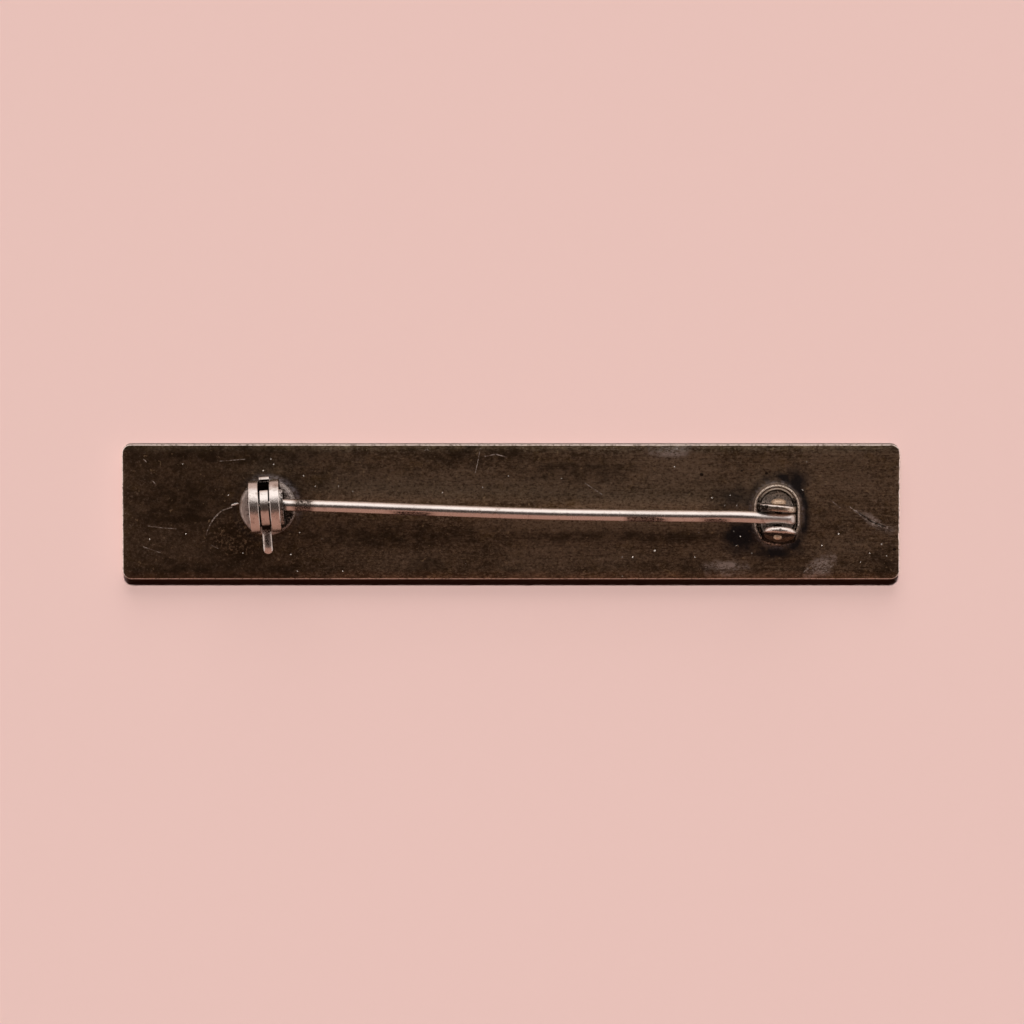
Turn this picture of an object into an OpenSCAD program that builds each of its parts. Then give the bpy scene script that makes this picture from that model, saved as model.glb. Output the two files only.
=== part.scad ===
// Bar brooch, lying on its plain front with the back face up.
// X runs along the bar, +Y towards the long edge at the catch's stop lip, +Z out of the back face.
// The origin is the middle of the front face.

/* [Plate] */
// Length of the bar
plate_l = 60; // [50:0.5:80]
// Width of the bar
plate_w = 10.45; // [9:0.05:14]
// Thickness of the bar
plate_t = 1.4; // [1.2:0.1:2]
// Radius of the bar's corners, seen from the back
plate_corner_r = 0.7; // [0.4:0.1:1.5]
// Bevel along the edges of the front face
front_bevel = 0.2; // [0.1:0.05:0.4]

/* [Pin stem] */
// Diameter of the stem's wire
wire_d = 0.94; // [0.8:0.01:1]
// Length from the rivet to the point
stem_l = 40.5; // [40:0.05:40.8]
// Length of the ground point
point_l = 2.6; // [2:0.1:6]
// Height of the wire's centre line over the back face
pin_h = 2.25; // [2.2:0.05:2.5]
// Thickness of the flattened head between the ears
head_t = 0.76; // [0.7:0.01:0.86]
// Height of the flattened head
head_h = 1.15; // [1:0.05:1.2]
// Length of the flattened head from the rivet towards the point
head_l = 1.8; // [1.7:0.1:2.5]
// Length of the head beyond the rivet
tail_l = 1.35; // [1:0.05:1.4]

/* [Joint] */
// Place of the rivet along the bar
rivet_x = 20.53; // [18:0.01:24]
// Place of the rivet across the bar
rivet_y = -0.27; // [-1:0.01:1]
// Diameter of the rivet's shank
rivet_d = 0.6; // [0.5:0.02:0.66]
// Length of the joint's oval base, across the bar
joint_base_l = 4.8; // [4.6:0.1:5.6]
// Width of the joint's oval base, along the bar
joint_base_w = 3.6; // [3.4:0.1:4.2]
// Height of the base's raised rim
joint_rim_h = 0.6; // [0.5:0.05:0.7]
// Depth of the dish inside the rim
joint_dish = 0.3; // [0.2:0.05:0.4]
// Width of the upper ear along the bar
upper_ear_w = 3; // [2.6:0.1:3]
// Width of the lower ear along the bar
lower_ear_w = 2.6; // [2.4:0.1:2.8]
// Height of the upper ear's round top over the rivet's axis
upper_ear_top = 1; // [0.9:0.1:1.4]
// Height of the lower ear's round top over the rivet's axis
lower_ear_top = 1; // [0.9:0.1:1.1]
// Thickness of the upper ear
upper_ear_t = 0.5; // [0.4:0.05:0.5]
// Thickness of the lower ear
lower_ear_t = 0.55; // [0.4:0.05:0.6]

/* [Catch] */
// Place of the catch's barrel along the bar
catch_x = -18.88; // [-19.1:0.02:-18.8]
// Place of the catch's barrel across the bar
catch_y = 0.68; // [0.6:0.02:0.8]
// Turn of the catch, as it was soldered on
catch_turn = 3.9; // [-5:0.1:6]
// Diameter of the catch's round base
catch_base_d = 4.3; // [4.2:0.1:5]
// Thickness of the catch's round base
catch_base_t = 0.45; // [0.4:0.05:0.5]
// Outer diameter of the barrel's two bands
barrel_d = 4.05; // [3.9:0.05:4.1]
// Wall of the bands
barrel_wall = 0.34; // [0.3:0.01:0.36]
// Length of the barrel, over both bands
barrel_l = 2.36; // [2.3:0.02:2.6]
// Width of the slot between the bands, where the lever moves
lever_slot = 0.86; // [0.84:0.01:1]

/* [Roller] */
// Wall of the roller
roller_wall = 0.34; // [0.3:0.01:0.36]
// Length that the roller stands out of the barrel on the pin's side
roller_proud = 0.26; // [0.1:0.02:0.3]
// Width of the lever
lever_w = 0.68; // [0.6:0.01:0.7]
// Reach of the lever's tip from the barrel's axis
lever_reach = 3.66; // [3.3:0.02:3.8]

/* [Hidden] */
$fn = 64;

// Running clearance of the roller in its barrel and of the head on its rivet
running_gap = 0.045;
// Gap round the rivet where the ears grip it
grip_gap = 0.01;
// Angles round the barrel go from straight up, 0, over the +Y side, 90, down to the plate, 180
pin_gate = [232, 272];
slot_end_angle = 116;
roller_gate = [55, 140];
// The lever: thickness, height of its flat top over the barrel's axis, then the bend that leads to
// the flat from the roller's wall and the dip at the round tip
leaf_t = 0.32;
leaf_top_z = 0.45;
bend_y = -2.1;
bend_r = 1;
tip_dip_l = 0.6;
tip_dip_r = 1.1;
// Stop lip: it leaves the wall under the slot's end and stands up outside the bands
lip_t = 0.22;
lip_top_z = -0.27;
// Shift of the round base from under the barrel
catch_base_shift = [0.1, -0.3];
// Chamfer round the top of the base
base_chamfer = 0.12;
// Lean of each ear towards +Y, and its turn against the rivet's frame
upper_ear_lean = 4;
upper_ear_turn = -4;
lower_ear_lean = 24;
lower_ear_turn = -2;
// Shift of each ear along the bar, from the rivet's middle
upper_ear_shift = -0.14;
lower_ear_shift = 0.15;
// Clearance between the stem's flattened head and the ears
upper_ear_gap = 0.18;
lower_ear_gap = 0.08;
// Rim of the joint's oval base, and the base's shift from under the rivet
joint_rim_w = 0.45;
joint_base_shift = [-0.03, 0.09];
// Ends of the rivet: a domed head above the upper ear and the plain peened end below the lower one
rivet_head_d = 1.24;
rivet_head_t = 0.4;
rivet_end_t = 0.2;
// The head stands off the leaning ear by this much at its middle
rivet_seat = 0.06;

wire_r = wire_d / 2;
barrel_r = barrel_d / 2;
barrel_bore_r = barrel_r - barrel_wall;
roller_r = barrel_bore_r - running_gap;
roller_bore_r = roller_r - roller_wall;
rivet_r = rivet_d / 2;
// The stem points from the rivet at the middle of the barrel
stem_turn = atan2(rivet_y - catch_y, rivet_x - catch_x);
// Middle of each ear's thickness at the rivet's height, from the stem's centre line
upper_ear_y = head_t / 2 + upper_ear_gap + upper_ear_t / 2;
lower_ear_y = -(head_t / 2 + lower_ear_gap + lower_ear_top * tan(lower_ear_lean)
    + lower_ear_t / 2 / cos(lower_ear_lean));

// Turns a flat outline drawn in Y and Z into a solid of the given length along X
module along_x(length) {
    rotate([90, 0, 90])
        linear_extrude(length, center = true)
            children();
}

// Turns a flat outline drawn in X and Z into a solid of the given length along Y
module along_y(length) {
    rotate([90, 0, 0])
        linear_extrude(length, center = true)
            children();
}

// Flat sector between two of the barrel's angles, larger than the barrel
module sector(from, to) {
    step = (to - from) / 8;
    reach = 2 * barrel_r;
    polygon(concat([[0, 0]], [for (i = [0:8]) reach * [sin(from + i * step), cos(from + i * step)]]));
}

// Flat oval with round ends, its length along Y
module oval(length, width) {
    half_gap = (length - width) / 2;
    square([width, 2 * half_gap], center = true);
    for (side = [-1, 1])
        translate([0, side * half_gap])
            circle(d = width);
}

// Frame of the catch: origin on the back face under the barrel, X along the barrel
module at_catch() {
    translate([catch_x, catch_y, plate_t])
        rotate([0, 0, catch_turn])
            children();
}

// Frame of the barrel: origin on its axis
module at_barrel() {
    at_catch()
        translate([0, 0, pin_h])
            children();
}

// Frame of the hinge: origin in the middle of the rivet, Y along the rivet, -X along the stem
module at_rivet() {
    translate([rivet_x, rivet_y, plate_t + pin_h])
        rotate([0, 0, stem_turn])
            children();
}

// Section of the plate's edge: the inner rectangle and the part outside it, with the front's bevel
module plate_section(half_width) {
    polygon([
        [0, 0], [half_width - front_bevel, 0], [half_width, front_bevel],
        [half_width, plate_t], [0, plate_t]
    ]);
}

module plate() {
    straight_l = plate_l - 2 * plate_corner_r;
    straight_w = plate_w - 2 * plate_corner_r;
    color("#43352a") {
        for (side = [0, 1])
            mirror([0, side, 0])
                along_x(straight_l)
                    plate_section(plate_w / 2);
        for (side = [0, 1])
            mirror([side, 0, 0])
                along_y(straight_w)
                    plate_section(plate_l / 2);
        for (x = [-1, 1], y = [-1, 1])
            translate([x * straight_l / 2, y * straight_w / 2, 0])
                rotate_extrude()
                    plate_section(plate_corner_r);
    }
}

// Round base, the two bands of the barrel with their foot, and the stop lip, soldered as one
module catch_housing() {
    color("#b9a79b") {
        at_catch()
            translate(catch_base_shift) {
                cylinder(d = catch_base_d, h = catch_base_t - base_chamfer);
                translate([0, 0, catch_base_t - base_chamfer])
                    cylinder(d1 = catch_base_d, d2 = catch_base_d - 2 * base_chamfer, h = base_chamfer);
            }
        at_barrel() {
            difference() {
                along_x(barrel_l)
                    barrel_section();
                along_x(lever_slot)
                    sector(pin_gate[1] - 360, slot_end_angle);
            }
            along_x(lever_slot - 0.04)
                lip_section();
        }
    }
}

// Open ring of the barrel on its foot
module barrel_section() {
    foot = [2.2, 0.8];
    foot_start = [-0.55, catch_base_t - 0.1 - pin_h];
    difference() {
        union() {
            circle(r = barrel_r);
            translate(foot_start)
                square(foot);
        }
        circle(r = barrel_bore_r);
        sector(pin_gate[0], pin_gate[1]);
    }
}

// Stop lip, from inside the barrel's wall out and up
module lip_section() {
    mid_r = barrel_r - barrel_wall / 2;
    foot_a = slot_end_angle + 6;
    polygon([
        [barrel_r, lip_top_z], [barrel_r + lip_t, lip_top_z], [barrel_r + lip_t, lip_top_z - 0.5],
        [mid_r * sin(foot_a + 6), mid_r * cos(foot_a + 6)], [mid_r * sin(foot_a), mid_r * cos(foot_a)],
        [barrel_r, lip_top_z - 0.4]
    ]);
}

// Roller that closes the catch, with the lever bent out of its wall
module catch_roller() {
    color("#c4b3a8")
        at_barrel() {
            translate([roller_proud / 2, 0, 0])
                along_x(barrel_l + roller_proud)
                    difference() {
                        circle(r = roller_r);
                        circle(r = roller_bore_r);
                        sector(roller_gate[0], roller_gate[1]);
                    }
            lever();
        }
}

// Lever: it bends out of the roller's wall, runs flat towards -Y and dips at its round tip
module lever() {
    flat_end_y = tip_dip_l - lever_reach;
    bend_z = leaf_top_z + bend_r;
    intersection() {
        along_x(lever_w) {
            translate([bend_y, bend_z])
                arc_strip(bend_r, bend_r + leaf_t, atan2(-bend_y, -bend_z), 180);
            translate([flat_end_y, leaf_top_z - leaf_t])
                square([bend_y - flat_end_y, leaf_t]);
            translate([flat_end_y, leaf_top_z - tip_dip_r])
                arc_strip(tip_dip_r - leaf_t, tip_dip_r, -50, 0);
        }
        linear_extrude(barrel_d, center = true)
            lever_outline();
    }
}

// Part of a flat ring between two of the barrel's angles
module arc_strip(inner_r, outer_r, from, to) {
    intersection() {
        difference() {
            circle(r = outer_r);
            circle(r = inner_r);
        }
        sector(from, to);
    }
}

// Outline of the lever seen from above, round at the tip
module lever_outline() {
    tip_r = lever_w / 2;
    translate([0, -lever_reach + tip_r])
        circle(r = tip_r);
    translate([-tip_r, -lever_reach + tip_r])
        square([lever_w, lever_reach]);
}

// Dished oval base with its two upright ears, one solid
module hinge_joint() {
    color("#8f8072")
        difference() {
            union() {
                at_joint_base() {
                    linear_extrude(joint_rim_h - joint_dish)
                        oval(joint_base_l, joint_base_w);
                    linear_extrude(joint_rim_h)
                        difference() {
                            oval(joint_base_l, joint_base_w);
                            oval(joint_base_l - 2 * joint_rim_w, joint_base_w - 2 * joint_rim_w);
                        }
                }
                intersection() {
                    at_rivet() {
                        translate([upper_ear_shift, upper_ear_y, 0])
                            ear(upper_ear_w, upper_ear_top, upper_ear_t, upper_ear_lean, upper_ear_turn);
                        translate([lower_ear_shift, lower_ear_y, 0])
                            ear(lower_ear_w, lower_ear_top, lower_ear_t, lower_ear_lean, lower_ear_turn);
                    }
                    at_joint_base()
                        linear_extrude(2 * pin_h)
                            oval(joint_base_l, joint_base_w);
                }
            }
            at_rivet()
                rotate([90, 0, 0])
                    cylinder(r = rivet_r + grip_gap, h = 2 * joint_base_l, center = true);
        }
}

// Frame of the joint's base: origin on the back face under the middle of the oval
module at_joint_base() {
    translate([rivet_x + joint_base_shift[0], rivet_y + joint_base_shift[1], plate_t])
        children();
}

// One ear: a plate with a round top, centred at the rivet's height
module ear(width, top, thickness, lean, turn) {
    foot_l = 1.2 * pin_h;
    rotate([0, 0, turn])
        rotate([-lean, 0, 0])
            along_y(thickness) {
                intersection() {
                    scale([width / 2, top])
                        circle(r = 1);
                    translate([-width / 2, 0])
                        square([width, top]);
                }
                translate([-width / 2, -foot_l])
                    square([width, foot_l]);
            }
}

// Rivet through both ears and the stem's head
module hinge_rivet() {
    above = upper_ear_y + upper_ear_t / 2 + rivet_seat;
    below = lower_ear_t / 2 / cos(lower_ear_lean) - lower_ear_y + rivet_end_t;
    head_r = (rivet_head_d * rivet_head_d / 4 + rivet_head_t * rivet_head_t) / (2 * rivet_head_t);
    color("#a8907a")
        at_rivet()
            rotate([-90, 0, 0]) {
                translate([0, 0, -below])
                    cylinder(r = rivet_r, h = above + below);
                translate([0, 0, above])
                    intersection() {
                        translate([0, 0, rivet_head_t - head_r])
                            sphere(r = head_r);
                        cylinder(d = rivet_head_d, h = rivet_head_t);
                    }
            }
}

// Stem: wire with a ground point and a flattened head that turns on the rivet
module pin_stem() {
    tip_r = 0.05;
    color("#c9bdb4")
        at_rivet() {
            difference() {
                along_y(head_t) {
                    translate([-head_l, -head_h / 2])
                        square([head_l + tail_l - head_h / 2, head_h]);
                    translate([tail_l - head_h / 2, 0])
                        circle(d = head_h);
                }
                rotate([90, 0, 0])
                    cylinder(r = rivet_r + running_gap, h = wire_d, center = true);
            }
            rotate([0, -90, 0]) {
                translate([0, 0, head_l])
                    cylinder(r = wire_r, h = stem_l - point_l - head_l);
                translate([0, 0, stem_l - point_l])
                    cylinder(r1 = wire_r, r2 = tip_r, h = point_l);
            }
        }
}

plate();
catch_housing();
catch_roller();
hinge_joint();
hinge_rivet();
pin_stem();
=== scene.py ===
from math import atan2, cos, exp, hypot, pi, radians, sin, sqrt

import bmesh
import bpy
from mathutils import Matrix, Vector, noise


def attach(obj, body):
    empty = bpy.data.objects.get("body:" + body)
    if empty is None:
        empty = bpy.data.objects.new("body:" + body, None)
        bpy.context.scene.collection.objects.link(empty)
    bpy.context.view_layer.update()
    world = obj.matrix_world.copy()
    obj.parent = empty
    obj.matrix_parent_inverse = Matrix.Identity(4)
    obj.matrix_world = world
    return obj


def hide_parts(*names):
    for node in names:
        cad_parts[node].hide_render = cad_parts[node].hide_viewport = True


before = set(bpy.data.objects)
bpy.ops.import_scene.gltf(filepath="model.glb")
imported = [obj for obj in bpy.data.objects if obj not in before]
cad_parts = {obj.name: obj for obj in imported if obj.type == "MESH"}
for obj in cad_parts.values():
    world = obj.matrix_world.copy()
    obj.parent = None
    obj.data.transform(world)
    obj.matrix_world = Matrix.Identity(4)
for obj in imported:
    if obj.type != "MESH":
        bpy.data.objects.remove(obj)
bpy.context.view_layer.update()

# Camera: it looks down on the back of the brooch from half a metre, 6 degrees off square towards
# the long edge at the top. The brooch's lengths are in millimetres until MM makes them metres.
MM = 0.001
camera_lean = radians(6)
camera_far = 500
camera_x = 0.077
back_face_z = 1.4
camera_data = bpy.data.cameras.new("camera")
camera_data.lens = 227.8
camera_data.sensor_width = 36
camera_data.clip_start = 0.01
camera_data.clip_end = 20
camera = bpy.data.objects.new("camera", camera_data)
camera_y = camera_far * sin(camera_lean)
camera_z = back_face_z + camera_far * cos(camera_lean)
camera.location = Vector((camera_x, camera_y, camera_z)) * MM
camera.rotation_euler = (-camera_lean, 0, 0)
bpy.context.scene.collection.objects.link(camera)
bpy.context.scene.camera = camera
bpy.context.scene.view_settings.view_transform = "Standard"

# Table and studio: a pale pink card lies under the brooch, and two lamps from beyond the top edge
# light it. The silver mirrors a softbox, the dark room over the camera and the card, all from a
# curved screen that only mirrors see. The floor and the screen are in metres.
floor_size = 3
screen_r = 0.45
screen_half_l = 0.5
floor_mesh = bmesh.new()
bmesh.ops.create_grid(floor_mesh, x_segments=1, y_segments=1, size=floor_size)
floor_data = bpy.data.meshes.new("floor")
floor_mesh.to_mesh(floor_data)
floor_mesh.free()
floor = bpy.data.objects.new("floor", floor_data)
bpy.context.scene.collection.objects.link(floor)
floor.visible_glossy = False
card = bpy.data.materials.new("pink_card")
card.use_nodes = True
card_shader = card.node_tree.nodes["Principled BSDF"]
card_shader.inputs["Base Color"].default_value = (0.80, 0.53, 0.48, 1)
card_shader.inputs["Roughness"].default_value = 1
card_shader.inputs["Specular IOR Level"].default_value = 0
floor_data.materials.append(card)


def add_lamp(name, tilt, width, strength):
    """Lamp far away, tilted from straight above towards +Y; width is the angle that it fills"""
    lamp_data = bpy.data.lights.new(name, "SUN")
    lamp_data.angle = radians(width)
    lamp_data.energy = strength
    lamp = bpy.data.objects.new(name, lamp_data)
    lamp.rotation_euler = (-radians(tilt), 0, 0)
    lamp.visible_glossy = False
    bpy.context.scene.collection.objects.link(lamp)


add_lamp("key_lamp", tilt=26, width=4, strength=2.75)
add_lamp("wide_lamp", tilt=59, width=44, strength=1.35)

# Colour of the surroundings that the silver mirrors, by the angle from straight up towards +Y
surroundings = [
    (-180, (0.8, 0.6, 0.54)), (-168, (0.40, 0.27, 0.23)), (-150, (0.30, 0.19, 0.15)),
    (-110, (0.38, 0.21, 0.16)), (-75, (0.40, 0.22, 0.17)), (-27, (0.40, 0.22, 0.17)),
    (-18, (0.10, 0.07, 0.06)), (-8, (0.055, 0.042, 0.036)), (16, (0.06, 0.045, 0.04)),
    (26, (0.13, 0.10, 0.09)), (38, (0.85, 0.78, 0.75)), (50, (1.25, 1.17, 1.13)),
    (84, (1.12, 1.04, 1.0)), (98, (0.66, 0.5, 0.44)), (140, (0.64, 0.48, 0.42)),
    (160, (0.8, 0.6, 0.54)), (180, (0.8, 0.6, 0.54)),
]
screen_mesh = bmesh.new()
glow_layer = screen_mesh.verts.layers.float_color.new("glow")
low = radians(surroundings[0][0])
high = radians(surroundings[-1][0])
middle = Vector((0, sin(low), cos(low))) * screen_r
rim = [screen_mesh.verts.new(middle + Vector((side * screen_half_l, 0, 0))) for side in (-1, 1)]
bmesh.ops.spin(
    screen_mesh, geom=rim + [screen_mesh.edges.new(rim)], cent=(0, 0, 0), axis=(1, 0, 0),
    angle=low - high, steps=144,
)
for vertex in screen_mesh.verts:
    angle = atan2(vertex.co.y, vertex.co.z) * 180 / pi
    for (start, first), (end, second) in zip(surroundings, surroundings[1:]):
        if start - 0.1 <= angle <= end + 0.1:
            share = (angle - start) / (end - start)
            vertex[glow_layer] = (*Vector(first).lerp(Vector(second), share), 1)
screen_data = bpy.data.meshes.new("mirrored_screen")
screen_mesh.to_mesh(screen_data)
screen_mesh.free()
screen = bpy.data.objects.new("mirrored_screen", screen_data)
glow = bpy.data.materials.new("mirrored_screen")
glow.use_nodes = True
glow.node_tree.nodes.clear()
glow_colour = glow.node_tree.nodes.new("ShaderNodeAttribute")
glow_colour.attribute_name = "glow"
emission = glow.node_tree.nodes.new("ShaderNodeEmission")
output = glow.node_tree.nodes.new("ShaderNodeOutputMaterial")
glow.node_tree.links.new(glow_colour.outputs["Color"], emission.inputs["Color"])
glow.node_tree.links.new(emission.outputs["Emission"], output.inputs["Surface"])
screen_data.materials.append(glow)
screen.visible_camera = False
screen.visible_diffuse = False
screen.visible_shadow = False
bpy.context.scene.collection.objects.link(screen)

world = bpy.data.worlds.new("studio")
bpy.context.scene.world = world
world.use_nodes = True
world.node_tree.nodes["Background"].inputs["Color"].default_value = (0.95, 0.82, 0.77, 1)
world.cycles_visibility.diffuse = False

# Plate: a bar of sheet silver with small round corners, tarnished dark brown on the back and worn
# to a pale line along its edges. The right end is nicked, and the catch and joint are soldered on.
plate_l = 60
plate_w = 10.45
plate_t = 1.4
plate_corner_r = 0.7
front_rim_r = 0.2
back_rim_r = 0.085
# Wear reaches this far in and down from the back's edges
rim_w = 0.095
rim_h = 0.08
wear_depth = 0.02
# The right end is nicked over this stretch across the bar
nicked_from = -3.2
nicked_to = 2.6
nick_depth = 0.16
mask_step = 0.25
catch_spot = (-18.75, 0.35)
joint_spot = (20.5, -0.2)
plate_shape = bmesh.new()
bmesh.ops.create_cube(plate_shape, size=1)
bmesh.ops.scale(plate_shape, verts=plate_shape.verts, vec=(plate_l, plate_w, plate_t))
bmesh.ops.translate(plate_shape, verts=plate_shape.verts, vec=(0, 0, plate_t / 2))


def round_edges(shape, edges, radius, segments):
    """Rounds the given edges"""
    bmesh.ops.bevel(
        shape, geom=edges, affect="EDGES", offset=radius, segments=segments, profile=0.5,
        material=-1, clamp_overlap=True,
    )


def upright(edge):
    """True for an edge that stands square on the bar"""
    return abs(edge.verts[0].co.z - edge.verts[1].co.z) > 0.5


round_edges(plate_shape, [e for e in plate_shape.edges if upright(e)], plate_corner_r, 8)
front_rim = [e for e in plate_shape.edges if all(v.co.z < 0.01 for v in e.verts)]
round_edges(plate_shape, front_rim, front_rim_r, 2)
back_rim = [e for e in plate_shape.edges if all(v.co.z > plate_t - 0.01 for v in e.verts)]
round_edges(plate_shape, back_rim, back_rim_r, 4)


def cut_across(shape, axis, places):
    """Adds a row of vertices at each of the places along an axis"""
    normal = Vector([float(i == axis) for i in range(3)])
    for place in places:
        bmesh.ops.bisect_plane(
            shape, geom=shape.verts[:] + shape.edges[:] + shape.faces[:],
            plane_co=normal * place, plane_no=normal,
        )


cut_across(plate_shape, 0, [mask_step * i for i in range(-117, 118)])
cut_across(plate_shape, 1, [mask_step * i for i in range(-18, 19)])


def patch(point, middle, half_size, turn=0, softness=0.4):
    """1 inside a ragged oval on the bar's back, fading to 0 round it"""
    ragged = 0.35 * noise.noise(Vector((point.x, point.y, middle[0])) * 1.7)
    ragged += 0.2 * noise.noise(Vector((point.x, point.y, middle[1])) * 5)
    away = Matrix.Rotation(-radians(turn), 2) @ Vector((point.x - middle[0], point.y - middle[1]))
    far = hypot(away.x / half_size[0], away.y / half_size[1]) + ragged
    return min(1, max(0, (1 + softness - far) / (2 * softness)))


def rise(value, low, high):
    """0 below low and 1 above high, with a soft step between"""
    share = min(1, max(0, (value - low) / (high - low)))
    return share * share * (3 - 2 * share)


# The rounded rim is worn down unevenly, and the right end is nicked
for vertex in plate_shape.verts:
    place = vertex.co
    if place.z > plate_t - rim_h:
        out_x = abs(place.x) - plate_l / 2 + rim_w
        out_y = abs(place.y) - plate_w / 2 + rim_w
        if max(out_x, out_y) > 0.03:
            worn = 0.5 + 0.5 * noise.noise(Vector((place.x, place.y, 3)) * 1.3)
            place.z -= wear_depth * worn
    if place.x > plate_l / 2 - 0.14 and nicked_from < place.y < nicked_to:
        place.x -= nick_depth * max(0, noise.noise(Vector((0, place.y * 2.4, 7))))

# Ovals on the bar's back: middle, half sizes and, for some, the turn in degrees
# Dark ovals: real stains, plus painted shadows of the stem (the long bands at y -1.9) and of the
# catch (the oval at -21, -3.4)
stains_and_shadows = [
    ((-8.3, -1.7), (0.8, 0.75)), ((-6.2, -4.2), (1.3, 0.7)), ((0.3, -4.65), (0.65, 0.3)),
    ((-22, 4.4), (7, 0.8)), ((-3.2, 4.4), (4.2, 0.8)), ((-9.4, -1.9), (6.5, 0.8)),
    ((-22, -4.7), (7, 0.7)), ((9.3, -1.9), (9.5, 0.4)), ((29, -4.1), (1, 1.4)),
    ((14.3, -4.4), (1.3, 0.55)), ((5, 3.2), (3.5, 0.8)), ((-25, 0.5), (3, 2)),
    ((-21, -3.4), (2.5, 0.6)),
]
pale_clouds = [
    ((-7.5, 1.9), (6.5, 1.3)), ((13, 2.6), (7, 1.9)), ((-8, -3.7), (5, 0.8)),
    ((7, -0.7), (10, 0.7)), ((25.5, 2.5), (4, 2.3)), ((12, 1), (9, 0.8)), ((3.5, -3.6), (4, 0.9)),
    ((23, -2.6), (4, 0.8)),
]
grey_scuffs = [
    ((12.2, 4.7), (1.4, 0.4)), ((16.6, -4.2), (1.4, 0.38)),
    ((23.9, -4.2), (1.2, 0.55), 35), ((28.0, -0.72), (1.4, 0.3), -30), ((13.4, 4.9), (0.5, 0.25)),
]
scar_pits = ((-20.9, -2.0), (2.1, 1.5), 10)
# Soot beside the joint, the patch under it being the joint's painted shadow: middle, half sizes and
# strength
soot_and_joint_shadow = [
    ((20.4, -3.1), (1.7, 0.5), 0.9), ((17.8, -1.9), (1.3, 1.3), 1),
    ((17.2, 1.0), (1.5, 1), 0.6), ((22.0, 2.4), (0.8, 0.9), 0.9),
]


def from_solder(place):
    """Distance from the catch's middle, and from the joint's as a share of its oval"""
    catch_far = hypot(place.x - catch_spot[0], place.y - catch_spot[1])
    joint_far = hypot((place.x - joint_spot[0]) / 2.0, (place.y - joint_spot[1]) / 2.55)
    return catch_far, joint_far


def haloed(place):
    """Pale halos on the upper right of the catch's base and all round the joint's"""
    catch_far, joint_far = from_solder(place)
    catch_side = atan2(place.y - catch_spot[1], place.x - catch_spot[0])
    return max(
        exp(-((catch_far - 2.36) / 0.17) ** 2) * max(0, cos(catch_side - 0.9)),
        exp(-((joint_far - 0.99) / 0.05) ** 2) * (0.75 if place.y > 0 else 0.4),
    )


def sooted_and_shaded(place):
    """Soot from soldering, in rings round both bases and in patches beside the joint, the one under
    the joint a painted shadow
    """
    catch_far, joint_far = from_solder(place)
    blot = 0.85 + 0.7 * noise.noise(Vector((place.x, place.y, 9)) * 1.6)
    return max(
        exp(-((catch_far - 2.6) / 0.3) ** 2) * 0.4,
        exp(-((joint_far - 1.15) / 0.15) ** 2) * blot * (0.65 + 0.45 * rise(place.x, 19.5, 21.5)),
        *(patch(place, middle, half, 0, 0.7) * share for middle, half, share in soot_and_joint_shadow),
    )


def paint(shape, name, rule, most=1):
    """Paints a mask on a piece by a rule on the place in millimetres, kept from 0 to the most"""
    layer = shape.verts.layers.float.new(name)
    for vertex in shape.verts:
        vertex[layer] = min(most, max(0, rule(vertex.co)))


# This mask holds the stains and the painted shadows of the stem and catch
paint(plate_shape, "stain_and_shadow", lambda place: max(patch(place, *oval) for oval in stains_and_shadows))
paint(plate_shape, "cloud", lambda place: max(patch(place, *oval, 0, 0.6) for oval in pale_clouds))
paint(plate_shape, "scuff", lambda place: max(patch(place, *oval) for oval in grey_scuffs))
paint(plate_shape, "pits", lambda place: patch(place, *scar_pits))
paint(plate_shape, "halo", haloed)
# This mask holds the soot and the joint's painted shadow
paint(plate_shape, "soot_and_shadow", sooted_and_shaded, most=2)


def add_piece(shape, name, body, material, node=None, smooth=40):
    """Makes an object from a shape in millimetres and says what it belongs to"""
    bmesh.ops.scale(shape, verts=shape.verts, vec=(MM, MM, MM))
    piece_data = bpy.data.meshes.new(name)
    shape.to_mesh(piece_data)
    shape.free()
    piece_data.materials.append(material)
    piece_data.shade_smooth()
    piece_data.set_sharp_from_angle(angle=radians(smooth))
    piece = bpy.data.objects.new(name, piece_data)
    bpy.context.scene.collection.objects.link(piece)
    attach(piece, body)
    if node:
        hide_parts(node)


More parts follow.
